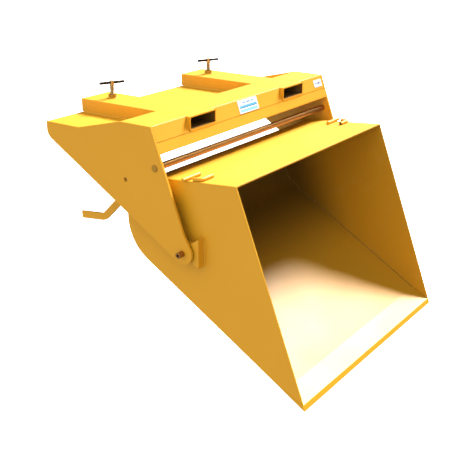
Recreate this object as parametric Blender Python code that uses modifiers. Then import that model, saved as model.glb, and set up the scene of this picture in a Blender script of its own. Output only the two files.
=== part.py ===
"""Fork-carried tipping scoop bucket: a level fork frame with a bucket hinged between its side plates.

Units are metres, +Z is up.  X runs across the machine, the bucket mouth faces -Y and the forks enter
from +Y.  The origin lies midway between the two fork tubes, on their rear faces (Y) and on the plane
where the forks bear on the tube roofs (Z).  The bucket is drawn tipped forward on its stop.
"""

import math

import bmesh
import bpy
from mathutils import Matrix, Vector

# --- overall layout -----------------------------------------------------------------------------
GAP = 0.0003                # clearance left between neighbouring pieces
HALF_WIDTH = 0.750          # outer faces of the frame side plates
SIDE_THICK = 0.012
TOP_Z = 0.006               # top of the fork tubes and of the front boxes
SIDES = (("left", -1), ("right", 1))

# --- fork tubes and deck ------------------------------------------------------------------------
TUBE_X = 0.400              # tube centre lines
TUBE_WIDTH = 0.200
TUBE_HEIGHT = 0.065
TUBE_WALL = 0.006
TUBE_LENGTH = 0.690
DECK_THICK = 0.008
DECK_REAR_Y = -0.007
DECK_LIP_DROP = 0.050       # folded rear edge of the deck
DECK_CLEARANCE = 0.003      # deck's front edge to the front boxes

# --- frame side plate, seen from the side -------------------------------------------------------
STEP_LOW_Y = -0.222         # the top edge starts to climb here
STEP_HIGH_Y = -0.486        # and reaches full height here
FRONT_Y = -0.664            # upper front corner
FRONT_LEAN = math.radians(20.2)
FRONT_STRAIGHT = 0.470      # drop of the straight part of the front edge
TAIL_SLOPE = math.radians(30.8)
TAIL_CHAMFER = 0.022
PIN_AXIS = Vector((0.0, -0.828, -0.555))
EAR_RADIUS = 0.053

# --- front boxes and rail -----------------------------------------------------------------------
BOX_DEPTH = 0.178           # top plate, front to rear
BOX_DROP = 0.070            # height of the upper front facet
RAIL_DROP = 0.121           # lower edge of the rail below the top
PLATE_THICK = 0.008

# --- round bars ---------------------------------------------------------------------------------
CROSS_BAR_AXIS = Vector((0.0, -0.682, -0.180))
CROSS_BAR_RADIUS = 0.016
CROSS_BAR_PROUD = 0.005
SHAFT_AXIS = Vector((0.0, -0.504, -0.264))
SHAFT_RADIUS = 0.010
SHAFT_RECESS = 0.006
COLLAR_RADIUS = 0.017
COLLAR_WIDTH = 0.012

# --- release lever and latch hooks --------------------------------------------------------------
LEVER_X = -0.600
LEVER_THICK = 0.012
LEVER_DEPTH = 0.038
LEVER_FALL = math.radians(44.7)
LEVER_DROP = 0.406          # shaft to bend
LEVER_BEND = 0.055          # middle line of the bar round the bend
GRIP_LENGTH = 0.158
GRIP_FALL = math.radians(6.5)
LEVER_HUB_RADIUS = 0.022
HOOK_X = 0.706              # middle of the hook, between side plate and bucket
HOOK_THICK = 0.016
HOOK_SEAT_PLAY = 0.0015     # room between a seated catch and its hook
BEAK_RISE = 0.010           # beak tip above the middle of a seated catch
BEAK_TIP = 0.0055           # width of the tip
BEAK_DEPTH = 0.030          # arm's lower edge below the catch
BEAK_REACH = 0.034          # nose ahead of it

# --- clamp screws -------------------------------------------------------------------------------
CLAMP_Y = -0.118
SCREW_RADIUS = 0.011
SCREW_TOP_Z = 0.092
SCREW_NOSE_Z = -0.0015
NUT_FLATS = 0.038
NUT_HEIGHT = 0.019
TOMMY_Z = 0.083
TOMMY_RADIUS = 0.007
TOMMY_LENGTH = 0.132
TOMMY_YAW = math.radians(-24.0)
PAD_RADIUS = 0.020
PAD_THICK = 0.006

# --- bucket -------------------------------------------------------------------------------------
BUCKET_HALF = 0.685         # outer faces of the bucket sides
BUCKET_SIDE_THICK = 0.008
SHELL_THICK = 0.008
ROLL_CENTRE = Vector((0.0, -0.676, -0.472))
ROLL_RADIUS = 0.228
ROLL_STEPS = 30
TOP_FALL = math.radians(4.9)
FLOOR_FALL = math.radians(30.2)
MOUTH_LEAN = math.radians(21.0)
MOUTH_TOP_Y = -1.0776
EDGE_WIDTH = 0.130          # cutting edge, lip to weld
EDGE_THICK = 0.0175
HOME_ANGLE = -FLOOR_FALL    # tip angle at which the floor is level and the hooks engage

# --- hinge pins and blocks ----------------------------------------------------------------------
HINGE_PIN_RADIUS = 0.014
HINGE_PIN_BORE = 0.0065
HINGE_PIN_PROUD = 0.033
BLOCK_WIDTH = 0.044
BLOCK_HUB_RADIUS = 0.038
BLOCK_FRONT = 0.076         # pin to the flat front face
BLOCK_TOP = 0.077
BLOCK_BOTTOM = 0.065

# --- lugs on the bucket's top edges -------------------------------------------------------------
LUG_ROD_RADIUS = 0.009
LUG_REAR_Y = -0.807
LUG_FRONT_Y = -0.884
LUG_SPACE = 0.026           # between the bent lug and the catch rod, along Y
LUG_BEND = 0.018
LUG_REACH = 0.100           # catch rod, inboard of the bucket side
LUG_FRONT_REACH = 0.085
LUG_STUB = 0.026            # catch rod, outboard of the bucket side

# --- plates that carry markings: low X, high X, upper and lower edge down the facet --------------
PANEL_THICK = 0.0012
PANELS = {
    "marking_panel_centre": (-0.094, 0.074, 0.004, 0.066),
    "marking_panel_end": (0.640, 0.722, 0.018, 0.056),
}

# --- finishes: red, green, blue, metallic, roughness --------------------------------------------
FINISHES = {
    "yellow_paint": (0.90, 0.55, 0.03, 0.0, 0.38),
    "zinc_steel": (0.62, 0.56, 0.44, 1.0, 0.35),
    "dark_steel": (0.16, 0.15, 0.14, 1.0, 0.40),
    "pale_panel": (0.86, 0.88, 0.90, 0.0, 0.45),
}

# A plan outline drawn in a curve's own X and Y stands up as world Y and Z with this rotation.
SIDE_VIEW = (math.pi / 2, 0.0, math.pi / 2)


# --- scene --------------------------------------------------------------------------------------
def start_clean():
    """Remove every object and return the part's collection and the cutters' collection."""
    for old in list(bpy.data.objects):
        bpy.data.objects.remove(old, do_unlink=True)
    part = bpy.data.collections.new("fork_tipping_bucket")
    cutters = bpy.data.collections.new("cutters")
    cutters.hide_render = True
    for collection in (part, cutters):
        bpy.context.scene.collection.children.link(collection)
    return part, cutters


PART, CUTTERS = start_clean()


def pivot(name, place):
    """Add an empty on a joint's axis for the moving pieces to hang from."""
    empty = bpy.data.objects.new(name, None)
    empty.empty_display_size = 0.05
    empty.location = place
    PART.objects.link(empty)
    return empty


def material(name):
    """Return the named material, made the first time it is asked for."""
    found = bpy.data.materials.get(name)
    if found:
        return found
    red, green, blue, metallic, roughness = FINISHES[name]
    made = bpy.data.materials.new(name)
    made.use_nodes = True
    made.diffuse_color = (red, green, blue, 1.0)
    shader = made.node_tree.nodes["Principled BSDF"]
    shader.inputs["Base Color"].default_value = (red, green, blue, 1.0)
    shader.inputs["Metallic"].default_value = metallic
    shader.inputs["Roughness"].default_value = roughness
    return made


# --- making pieces ------------------------------------------------------------------------------
def add_object(name, mesh, slot, parent=None, place=(0.0, 0.0, 0.0), turn=(0.0, 0.0, 0.0)):
    """Link a mesh as a finished piece, placed in the world and hung from its pivot."""
    piece = bpy.data.objects.new(name, mesh)
    PART.objects.link(piece)
    mesh.materials.append(material(slot))
    mesh.shade_smooth()
    mesh.set_sharp_from_angle(angle=math.radians(30))
    piece.rotation_euler = turn
    piece.location = place
    if parent:
        piece.parent = parent
        piece.location = Vector(place) - parent.location
    return piece


def mesh_of(curve):
    """Turn a curve object into a welded mesh and remove the curve."""
    bpy.context.view_layer.update()
    evaluated = curve.evaluated_get(bpy.context.evaluated_depsgraph_get())
    mesh = bpy.data.meshes.new_from_object(evaluated)
    welded = bmesh.new()
    welded.from_mesh(mesh)
    bmesh.ops.remove_doubles(welded, verts=welded.verts, dist=0.00001)
    bmesh.ops.recalc_face_normals(welded, faces=welded.faces)
    welded.to_mesh(mesh)
    welded.free()
    mesh.materials.clear()
    bpy.data.objects.remove(curve, do_unlink=True)
    return mesh


def curve_object(name, points, cyclic):
    """Add a straight-segment curve through the given points."""
    curve = bpy.data.curves.new(name, "CURVE")
    spline = curve.splines.new("POLY")
    spline.points.add(len(points) - 1)
    for slot, point in zip(spline.points, points):
        slot.co = (*point, 1.0)
    spline.use_cyclic_u = cyclic
    made = bpy.data.objects.new(name, curve)
    PART.objects.link(made)
    return made


def plate(name, outline, low_x, high_x, slot="yellow_paint", parent=None):
    """Make a flat piece from its side-view outline of (y, z) points, from low_x to high_x."""
    flat = curve_object(f"{name}_outline", [(y, z, 0.0) for y, z in outline], cyclic=True)
    flat.data.dimensions = "2D"
    flat.data.fill_mode = "BOTH"
    flat.data.extrude = (high_x - low_x) / 2
    middle = ((low_x + high_x) / 2, 0.0, 0.0)
    return add_object(name, mesh_of(flat), slot, parent, middle, SIDE_VIEW)


def folded(name, path, low_x, high_x, thickness, slot="yellow_paint", parent=None):
    """Make folded or rolled sheet: its outer face follows a side-view path, Solidify thickens it."""
    sheet = bmesh.new()
    line = [sheet.verts.new((low_x, y, z)) for y, z in path]
    edges = [sheet.edges.new(pair) for pair in zip(line, line[1:])]
    swept = bmesh.ops.extrude_edge_only(sheet, edges=edges)["geom"]
    moved = [item for item in swept if isinstance(item, bmesh.types.BMVert)]
    bmesh.ops.translate(sheet, vec=(high_x - low_x, 0.0, 0.0), verts=moved)
    mesh = bpy.data.meshes.new(name)
    sheet.to_mesh(mesh)
    sheet.free()
    piece = add_object(name, mesh, slot, parent)
    if parent:
        mesh.transform(Matrix.Translation(-parent.location))
        piece.location = (0.0, 0.0, 0.0)
    solidify = piece.modifiers.new("thickness", "SOLIDIFY")
    solidify.thickness = thickness
    solidify.offset = -1.0
    solidify.use_even_offset = True
    return piece


def cylinder_mesh(name, length, radius, segments):
    """Make a closed cylinder about Z, or a prism when it has few sides."""
    shape = bmesh.new()
    bmesh.ops.create_cone(
        shape, cap_ends=True, segments=segments, radius1=radius, radius2=radius, depth=length
    )
    mesh = bpy.data.meshes.new(name)
    shape.to_mesh(mesh)
    shape.free()
    return mesh


def rod(name, start, end, radius, slot="yellow_paint", parent=None, segments=32):
    """Make a plain round bar between two points."""
    span = Vector(end) - Vector(start)
    turn = Vector((0.0, 0.0, 1.0)).rotation_difference(span).to_euler()
    middle = (Vector(start) + Vector(end)) / 2
    mesh = cylinder_mesh(name, span.length, radius, segments)
    return add_object(name, mesh, slot, parent, middle, turn)


def rod_across(name, axis, low_x, high_x, radius, slot="yellow_paint", parent=None, segments=32):
    """Make a round bar along X on a side-view axis."""
    start = (low_x, axis.y, axis.z)
    end = (high_x, axis.y, axis.z)
    return rod(name, start, end, radius, slot, parent, segments)


# --- cutting pieces -----------------------------------------------------------------------------
def cut(piece, mesh, place=(0.0, 0.0, 0.0), turn=(0.0, 0.0, 0.0)):
    """Cut a placed shape out of a piece."""
    tool = bpy.data.objects.new(mesh.name, mesh)
    tool.location = place
    tool.rotation_euler = turn
    tool.hide_render = True
    tool.display_type = "WIRE"
    CUTTERS.objects.link(tool)
    modifier = piece.modifiers.new(mesh.name, "BOOLEAN")
    modifier.operation = "DIFFERENCE"
    modifier.solver = "EXACT"
    modifier.object = tool


def drill(piece, start, end, radius, segments=32):
    """Drill a round hole between two points."""
    span = Vector(end) - Vector(start)
    turn = Vector((0.0, 0.0, 1.0)).rotation_difference(span).to_euler()
    middle = (Vector(start) + Vector(end)) / 2
    cut(piece, cylinder_mesh(f"drill_{piece.name}", span.length, radius, segments), middle, turn)


def drill_across(piece, axis, radius, segments=32):
    """Drill a round hole along X right through a piece."""
    drill(piece, (-1.0, axis.y, axis.z), (1.0, axis.y, axis.z), radius, segments)


def hollow_out(piece, low, high):
    """Cut a plain box out of a piece."""
    size = Vector(high) - Vector(low)
    shape = bmesh.new()
    bmesh.ops.create_cube(shape, size=1.0)
    bmesh.ops.scale(shape, vec=size, verts=shape.verts)
    mesh = bpy.data.meshes.new(f"hollow_{piece.name}")
    shape.to_mesh(mesh)
    shape.free()
    cut(piece, mesh, (Vector(low) + Vector(high)) / 2)


# --- side-view geometry -------------------------------------------------------------------------
def arc(centre, radius, start, end, steps):
    """Return (y, z) points on an arc; angles in radians from +Y towards +Z."""
    angles = [start + (end - start) * step / steps for step in range(steps + 1)]
    return [(centre.y + radius * math.cos(a), centre.z + radius * math.sin(a)) for a in angles]


def thickened(path, thickness):
    """Return the closed outline of a side-view path with thickness on its left-hand side."""
    inner = []
    for index, (y, z) in enumerate(path):
        steps = []
        if index:
            steps.append(Vector(path[index]) - Vector(path[index - 1]))
        if index + 1 < len(path):
            steps.append(Vector(path[index + 1]) - Vector(path[index]))
        normals = [Vector((-step.y, step.x)).normalized() for step in steps]
        mean = sum(normals, Vector((0.0, 0.0))).normalized()
        reach = thickness / mean.dot(normals[0])
        inner.append((y + mean.x * reach, z + mean.y * reach))
    return list(path) + inner[::-1]


def front_point(drop, inset=0.0):
    """Return (y, z) on the leaning front plane, a drop below the top and an inset behind the face."""
    y = FRONT_Y - drop * math.tan(FRONT_LEAN) + inset / math.cos(FRONT_LEAN)
    return (y, TOP_Z - drop)


def top_line(y):
    """Return the height of the bucket's top surface at y."""
    touch_y, touch_z = arc(ROLL_CENTRE, ROLL_RADIUS, math.pi / 2 - TOP_FALL, 0.0, 1)[0]
    return touch_z + (touch_y - y) * math.tan(TOP_FALL)


def lip_point():
    """Return (y, z) where the mouth plane meets the underside of the floor."""
    top_z = top_line(MOUTH_TOP_Y)
    touch_y, touch_z = arc(ROLL_CENTRE, ROLL_RADIUS, FLOOR_FALL - math.pi / 2, 0.0, 1)[0]
    floor_z = touch_z + (MOUTH_TOP_Y - touch_y) * math.tan(FLOOR_FALL)
    drop = (top_z - floor_z) / (1 - math.tan(MOUTH_LEAN) * math.tan(FLOOR_FALL))
    return (MOUTH_TOP_Y - drop * math.tan(MOUTH_LEAN), top_z - drop)


def along_floor(run, rise):
    """Return (y, z) a run behind the lip along the floor and a rise above its underside."""
    lip_y, lip_z = lip_point()
    y = lip_y + run * math.cos(FLOOR_FALL) - rise * math.sin(FLOOR_FALL)
    z = lip_z + run * math.sin(FLOOR_FALL) + rise * math.cos(FLOOR_FALL)
    return (y, z)


def mouth_run(rise):
    """Return how far behind the lip the mouth plane is at a rise above the floor's underside."""
    return rise * math.tan(MOUTH_LEAN + FLOOR_FALL)


def bucket_roll():
    """Return the rolled back of the bucket, from its top surface round to its floor."""
    return arc(ROLL_CENTRE, ROLL_RADIUS, math.pi / 2 - TOP_FALL, FLOOR_FALL - math.pi / 2, ROLL_STEPS)


def catch_home():
    """Return where a catch rod lies when the bucket is level."""
    drawn = Vector((0.0, LUG_REAR_Y, top_line(LUG_REAR_Y) + LUG_ROD_RADIUS + GAP))
    return PIN_AXIS + Matrix.Rotation(HOME_ANGLE, 3, "X") @ (drawn - PIN_AXIS)


# --- frame --------------------------------------------------------------------------------------
def frame_side_outline():
    """Return the frame side plate: stepped top, leaning front, round ear, long rising tail."""
    low_z = TOP_Z - TUBE_HEIGHT
    start = front_point(FRONT_STRAIGHT)
    offset = Vector((start[0] - PIN_AXIS.y, start[1] - PIN_AXIS.z))
    front_angle = math.atan2(offset.y, offset.x) + math.acos(EAR_RADIUS / offset.length)
    ear = arc(PIN_AXIS, EAR_RADIUS, front_angle, TAIL_SLOPE + 1.5 * math.pi, 14)
    tail_y, tail_z = ear[-1]
    end_y = DECK_REAR_Y - TAIL_CHAMFER
    end_z = tail_z + (end_y - tail_y) * math.tan(TAIL_SLOPE)
    return [
        (DECK_REAR_Y, low_z),
        (STEP_LOW_Y, low_z),
        (STEP_HIGH_Y, TOP_Z),
        (FRONT_Y, TOP_Z),
        start,
        *ear,
        (end_y, end_z),
        (DECK_REAR_Y - TAIL_CHAMFER * 0.2, end_z + TAIL_CHAMFER * 0.9),
        (DECK_REAR_Y, end_z + TAIL_CHAMFER * 1.3),
    ]


def build_side_plates():
    """Build the two side plates with their pin, shaft and tie-bar holes."""
    for side, sign in SIDES:
        low_x, high_x = sorted((sign * HALF_WIDTH, sign * (HALF_WIDTH - SIDE_THICK)))
        piece = plate(f"frame_side_{side}", frame_side_outline(), low_x, high_x)
        drill_across(piece, PIN_AXIS, HINGE_PIN_RADIUS + GAP)
        drill_across(piece, CROSS_BAR_AXIS, CROSS_BAR_RADIUS + GAP)
        drill_across(piece, SHAFT_AXIS, SHAFT_RADIUS + GAP)


def build_fork_tubes():
    """Build the two rectangular fork tubes, open at both ends."""
    low_z = TOP_Z - TUBE_HEIGHT
    outline = [(-TUBE_LENGTH, low_z), (-TUBE_LENGTH, TOP_Z), (0.0, TOP_Z), (0.0, low_z)]
    for side, sign in SIDES:
        centre = sign * TUBE_X
        half = TUBE_WIDTH / 2
        tube = plate(f"fork_tube_{side}", outline, centre - half, centre + half)
        hollow_out(
            tube,
            (centre - half + TUBE_WALL, -1.0, low_z + TUBE_WALL),
            (centre + half - TUBE_WALL, 1.0, TOP_Z - TUBE_WALL),
        )
        drill(tube, (centre, CLAMP_Y, -0.02), (centre, CLAMP_Y, 0.05), SCREW_RADIUS + 0.001)


def build_deck_and_front():
    """Build the deck, the folded boxes between the tubes, the rail under them and the tie bar."""
    inner = HALF_WIDTH - SIDE_THICK - GAP
    deck_top = TOP_Z - TUBE_HEIGHT - GAP
    deck_front = front_point(BOX_DROP, PLATE_THICK)[0] + DECK_CLEARANCE
    deck = [(deck_front, deck_top), (DECK_REAR_Y, deck_top), (DECK_REAR_Y, deck_top - DECK_LIP_DROP)]
    folded("deck_plate", deck, -inner, inner, DECK_THICK)

    rear_y = FRONT_Y + BOX_DEPTH
    box = [front_point(BOX_DROP), (FRONT_Y, TOP_Z), (rear_y, TOP_Z), (rear_y, deck_top + GAP)]
    tube_in = TUBE_X - TUBE_WIDTH / 2 - GAP
    tube_out = TUBE_X + TUBE_WIDTH / 2 + GAP
    folded("front_box_left", box, -inner, -tube_out, PLATE_THICK)
    folded("front_box_centre", box, -tube_in, tube_in, PLATE_THICK)
    folded("front_box_right", box, tube_out, inner, PLATE_THICK)

    rail = thickened([front_point(BOX_DROP + GAP), front_point(RAIL_DROP)], PLATE_THICK)
    plate("front_rail", rail, -inner, inner)

    reach = HALF_WIDTH + CROSS_BAR_PROUD
    rod_across("cross_bar", CROSS_BAR_AXIS, -reach, reach, CROSS_BAR_RADIUS, "zinc_steel", segments=40)


def build_panels():
    """Build the thin marking panels on the upper front facet."""
    for name, (low_x, high_x, top, bottom) in PANELS.items():
        face = -GAP - PANEL_THICK
        outline = [
            front_point(top, -GAP),
            front_point(bottom, -GAP),
            front_point(bottom, face),
            front_point(top, face),
        ]
        plate(name, outline, low_x, high_x, "pale_panel")


# --- latch --------------------------------------------------------------------------------------
def hook_outline():
    """Return the latch hook: a hub, an arm running forward under the catch and an upturned beak."""
    home = catch_home()
    seat = LUG_ROD_RADIUS + HOOK_SEAT_PLAY
    notch = arc(home, seat, math.pi, 2 * math.pi, 10)
    hub = arc(SHAFT_AXIS, COLLAR_RADIUS, math.radians(110), math.radians(-100), 14)
    tip = (home.y - seat, home.z + BEAK_RISE)
    shoulder = [(home.y + seat, home.z + 0.004), (home.y + 3 * seat, home.z + 0.012)]
    nose = [
        (home.y + 1.5 * seat, home.z - BEAK_DEPTH),
        (home.y - BEAK_REACH * 0.6, home.z - BEAK_DEPTH),
        (home.y - BEAK_REACH, home.z - BEAK_DEPTH * 0.7),
        (home.y - seat - BEAK_TIP, home.z + BEAK_RISE),
    ]
    return [tip, *notch, *shoulder, *hub, *nose]


def lever_outline():
    """Return the release lever: an eye on the shaft, a falling arm, a swept bend and a grip."""
    axis = SHAFT_AXIS
    half = LEVER_DEPTH / 2
    root = 0.012
    elbow = Vector((
        axis.y + LEVER_DROP * math.cos(LEVER_FALL),
        axis.z - LEVER_DROP * math.sin(LEVER_FALL),
    ))
    along_arm = Vector((math.cos(LEVER_FALL), -math.sin(LEVER_FALL)))
    along_grip = Vector((math.cos(GRIP_FALL), -math.sin(GRIP_FALL)))
    start = elbow - along_arm * LEVER_BEND * math.tan((LEVER_FALL - GRIP_FALL) / 2)
    centre = start + Vector((-along_arm.y, along_arm.x)) * LEVER_BEND
    bend = Vector((0.0, centre.x, centre.y))
    sweep = (-math.pi / 2 - LEVER_FALL, -math.pi / 2 - GRIP_FALL)
    root_point = Vector((axis.y, axis.z)) + along_arm * root
    end_point = elbow + along_grip * GRIP_LENGTH
    down_arm = Vector((along_arm.y, -along_arm.x)) * half
    down_grip = Vector((along_grip.y, -along_grip.x)) * half
    lower = [tuple(root_point + down_arm), *arc(bend, LEVER_BEND + half, *sweep, 8)]
    upper = [tuple(end_point - down_grip), *arc(bend, LEVER_BEND - half, sweep[1], sweep[0], 8)]
    body = [*lower, tuple(end_point + down_grip), *upper, tuple(root_point - down_arm)]
    first = math.atan2(body[-1][1] - axis.z, body[-1][0] - axis.y)
    last = math.atan2(lower[0][1] - axis.z, lower[0][0] - axis.y) + 2 * math.pi
    return body + arc(axis, LEVER_HUB_RADIUS, first, last, 18)


def build_latch():
    """Build the latch shaft, its collars, the release lever and the two hooks."""
    hinge = pivot("latch_pivot", SHAFT_AXIS)
    reach = HALF_WIDTH - SHAFT_RECESS
    rod_across("latch_shaft", SHAFT_AXIS, -reach, reach, SHAFT_RADIUS, "zinc_steel", hinge)
    for side, sign in SIDES:
        outer = sign * (HALF_WIDTH - SIDE_THICK - 0.001)
        low_x, high_x = sorted((outer, outer - sign * COLLAR_WIDTH))
        collar = rod_across(f"shaft_collar_{side}", SHAFT_AXIS, low_x, high_x, COLLAR_RADIUS, parent=hinge)
        drill_across(collar, SHAFT_AXIS, SHAFT_RADIUS + GAP)
        low_x, high_x = sign * HOOK_X - HOOK_THICK / 2, sign * HOOK_X + HOOK_THICK / 2
        hook = plate(f"latch_hook_{side}", hook_outline(), low_x, high_x, parent=hinge)
        drill_across(hook, SHAFT_AXIS, SHAFT_RADIUS + GAP)
    low_x = LEVER_X - LEVER_THICK / 2
    lever = plate("release_lever", lever_outline(), low_x, low_x + LEVER_THICK, parent=hinge)
    drill_across(lever, SHAFT_AXIS, SHAFT_RADIUS + GAP)


# --- clamp screws -------------------------------------------------------------------------------
def build_clamps():
    """Build both clamp screws with their nuts, tommy bars and swivel pads."""
    along = Vector((math.cos(TOMMY_YAW), math.sin(TOMMY_YAW), 0.0))
    for side, sign in SIDES:
        foot = Vector((sign * TUBE_X, CLAMP_Y, 0.0))
        axis = pivot(f"clamp_axis_{side}", foot)
        up = Vector((0.0, 0.0, 1.0))

        nut_low = foot + up * (TOP_Z + GAP)
        nut_high = nut_low + up * NUT_HEIGHT
        nut = rod(f"clamp_nut_{side}", nut_low, nut_high, NUT_FLATS / math.sqrt(3), segments=6)
        drill(nut, foot - up * 0.05, foot + up * 0.10, SCREW_RADIUS + GAP)

        nose = foot + up * SCREW_NOSE_Z
        screw = rod(f"clamp_screw_{side}", nose, foot + up * SCREW_TOP_Z, SCREW_RADIUS, "zinc_steel", axis)
        middle = foot + up * TOMMY_Z
        drill(screw, middle - along * 0.1, middle + along * 0.1, TOMMY_RADIUS + GAP, 24)
        half = along * TOMMY_LENGTH / 2
        rod(f"tommy_bar_{side}", middle - half, middle + half, TOMMY_RADIUS, "dark_steel", axis, 24)

        pad_top = nose - up * GAP
        rod(f"clamp_pad_{side}", pad_top - up * PAD_THICK, pad_top, PAD_RADIUS, "zinc_steel", axis)


# --- bucket -------------------------------------------------------------------------------------
def build_bucket(hinge):
    """Build the bucket's sides, rolled sheet and cutting edge."""
    top = (MOUTH_TOP_Y, top_line(MOUTH_TOP_Y))
    weld = EDGE_WIDTH + GAP
    rise = EDGE_THICK + GAP
    outline = [
        top,
        *bucket_roll(),
        along_floor(weld, 0.0),
        along_floor(weld, SHELL_THICK + GAP),
        along_floor(mouth_run(rise), rise),
    ]
    for side, sign in SIDES:
        low_x, high_x = sorted((sign * BUCKET_HALF, sign * (BUCKET_HALF - BUCKET_SIDE_THICK)))
        plate(f"bucket_side_{side}", outline, low_x, high_x, parent=hinge)

    inner = BUCKET_HALF - BUCKET_SIDE_THICK - GAP
    path = [top, *bucket_roll(), along_floor(weld, 0.0)]
    folded("bucket_shell", path, -inner, inner, SHELL_THICK, parent=hinge)

    edge = [
        along_floor(0.0, 0.0),
        along_floor(EDGE_WIDTH, 0.0),
        along_floor(EDGE_WIDTH, SHELL_THICK),
        along_floor(mouth_run(EDGE_THICK), EDGE_THICK),
    ]
    plate("cutting_edge", edge, -BUCKET_HALF, BUCKET_HALF, parent=hinge)


def build_hinges(hinge):
    """Build the hollow hinge pins and the fan-shaped blocks that carry them."""
    front_y = PIN_AXIS.y - BLOCK_FRONT
    hub = arc(PIN_AXIS, BLOCK_HUB_RADIUS, math.radians(112), math.radians(-112), 16)
    outline = [(front_y, PIN_AXIS.z + BLOCK_TOP), *hub, (front_y, PIN_AXIS.z - BLOCK_BOTTOM)]
    for side, sign in SIDES:
        inner = sign * (BUCKET_HALF + GAP)
        low_x, high_x = sorted((inner, sign * (BUCKET_HALF + BLOCK_WIDTH)))
        block = plate(f"hinge_block_{side}", outline, low_x, high_x, parent=hinge)
        drill_across(block, PIN_AXIS, HINGE_PIN_RADIUS + GAP)
        low_x, high_x = sorted((inner + sign * GAP, sign * (HALF_WIDTH + HINGE_PIN_PROUD)))
        pin = rod_across(
            f"hinge_pin_{side}", PIN_AXIS, low_x, high_x, HINGE_PIN_RADIUS, "zinc_steel", hinge
        )
        drill_across(pin, PIN_AXIS, HINGE_PIN_BORE, 24)


def rounded(route, radius, steps):
    """Return a plan-view route with its inner corners rounded."""
    points = [route[0]]
    for before, corner, after in zip(route, route[1:], route[2:]):
        corner = Vector(corner)
        start = corner + (Vector(before) - corner).normalized() * radius
        end = corner + (Vector(after) - corner).normalized() * radius
        for step in range(steps + 1):
            t = step / steps
            mixed = start * (1 - t) ** 2 + corner * 2 * t * (1 - t) + end * t ** 2
            points.append((mixed.x, mixed.y))
    return points + [route[-1]]


def build_lugs(hinge):
    """Build the bent lugs and the catch rods welded on the bucket's top edges."""
    lift = LUG_ROD_RADIUS + GAP
    for side, sign in SIDES:
        corner = BUCKET_HALF - LUG_ROD_RADIUS - 0.001
        route = [
            (corner - LUG_FRONT_REACH, LUG_FRONT_Y),
            (corner, LUG_FRONT_Y),
            (corner, LUG_REAR_Y - LUG_SPACE),
        ]
        points = [(sign * x, y, top_line(y) + lift) for x, y in rounded(route, LUG_BEND, 6)]
        bent = curve_object(f"top_lug_{side}_route", points, cyclic=False)
        bent.data.dimensions = "3D"
        bent.data.bevel_depth = LUG_ROD_RADIUS
        bent.data.bevel_resolution = 3
        bent.data.use_fill_caps = True
        add_object(f"top_lug_{side}", mesh_of(bent), "yellow_paint", hinge)

        axis = Vector((0.0, LUG_REAR_Y, top_line(LUG_REAR_Y) + lift))
        low_x, high_x = sorted((sign * (BUCKET_HALF - LUG_REACH), sign * (BUCKET_HALF + LUG_STUB)))
        rod_across(f"catch_rod_{side}", axis, low_x, high_x, LUG_ROD_RADIUS, parent=hinge)


build_side_plates()
build_fork_tubes()
build_deck_and_front()
build_panels()
build_latch()
build_clamps()
BUCKET_PIVOT = pivot("bucket_pivot", PIN_AXIS)
build_bucket(BUCKET_PIVOT)
build_hinges(BUCKET_PIVOT)
build_lugs(BUCKET_PIVOT)
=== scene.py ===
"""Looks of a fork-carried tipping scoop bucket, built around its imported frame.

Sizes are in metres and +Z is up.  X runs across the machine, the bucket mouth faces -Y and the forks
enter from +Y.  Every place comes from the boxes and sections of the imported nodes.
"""

import logging
import math
from collections.abc import Callable, Iterable, Sequence
from dataclasses import dataclass, field
from enum import Enum

import bmesh
import bpy
from mathutils import Matrix, Vector


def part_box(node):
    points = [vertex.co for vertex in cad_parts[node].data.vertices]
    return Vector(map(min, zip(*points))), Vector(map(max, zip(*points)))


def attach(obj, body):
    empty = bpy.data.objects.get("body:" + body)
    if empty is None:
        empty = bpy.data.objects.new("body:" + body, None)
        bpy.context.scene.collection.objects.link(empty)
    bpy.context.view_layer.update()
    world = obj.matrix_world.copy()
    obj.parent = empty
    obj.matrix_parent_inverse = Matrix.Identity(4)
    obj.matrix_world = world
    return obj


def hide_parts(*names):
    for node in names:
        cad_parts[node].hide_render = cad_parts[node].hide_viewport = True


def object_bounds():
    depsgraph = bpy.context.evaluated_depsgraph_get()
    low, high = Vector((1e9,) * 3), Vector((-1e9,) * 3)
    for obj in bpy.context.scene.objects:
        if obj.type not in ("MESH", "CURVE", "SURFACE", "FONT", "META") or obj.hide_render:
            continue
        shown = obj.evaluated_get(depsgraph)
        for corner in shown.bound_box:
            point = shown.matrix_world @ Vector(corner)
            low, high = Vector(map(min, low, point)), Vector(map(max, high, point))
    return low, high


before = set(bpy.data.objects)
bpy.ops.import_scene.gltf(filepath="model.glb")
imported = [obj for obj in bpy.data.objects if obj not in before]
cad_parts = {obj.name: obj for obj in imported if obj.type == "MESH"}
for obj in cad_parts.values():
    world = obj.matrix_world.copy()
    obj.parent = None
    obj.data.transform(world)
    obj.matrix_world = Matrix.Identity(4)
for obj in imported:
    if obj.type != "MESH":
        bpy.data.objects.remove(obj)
CAD_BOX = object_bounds()

LOG = logging.getLogger("tipping_bucket")

MM = 0.001
MERGE = 0.01 * MM               # vertices nearer than this are one
FLAT = math.radians(0.5)        # faces nearer in angle than this are one
CREASE = math.radians(35)       # edges sharper than this are eased or stay sharp
ACROSS = Vector((1.0, 0.0, 0.0))
REARWARD = Vector((0.0, 1.0, 0.0))
UPWARD = Vector((0.0, 0.0, 1.0))
SIDES = (("left", -1.0), ("right", 1.0))
FRONT_BOXES = ("front_box_left", "front_box_centre", "front_box_right")
ENDS = (("low", -1.0), ("high", 1.0))
FULL = (0.0, 1.0)               # the range of a share
INSIDE = 1                      # second material: faces that line a hollow, or a bar's ends

NodeTree = bpy.types.NodeTree
Socket = bpy.types.NodeSocket
Mesh = bmesh.types.BMesh
Route = list[Vector]
Piece = bpy.types.Object


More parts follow.
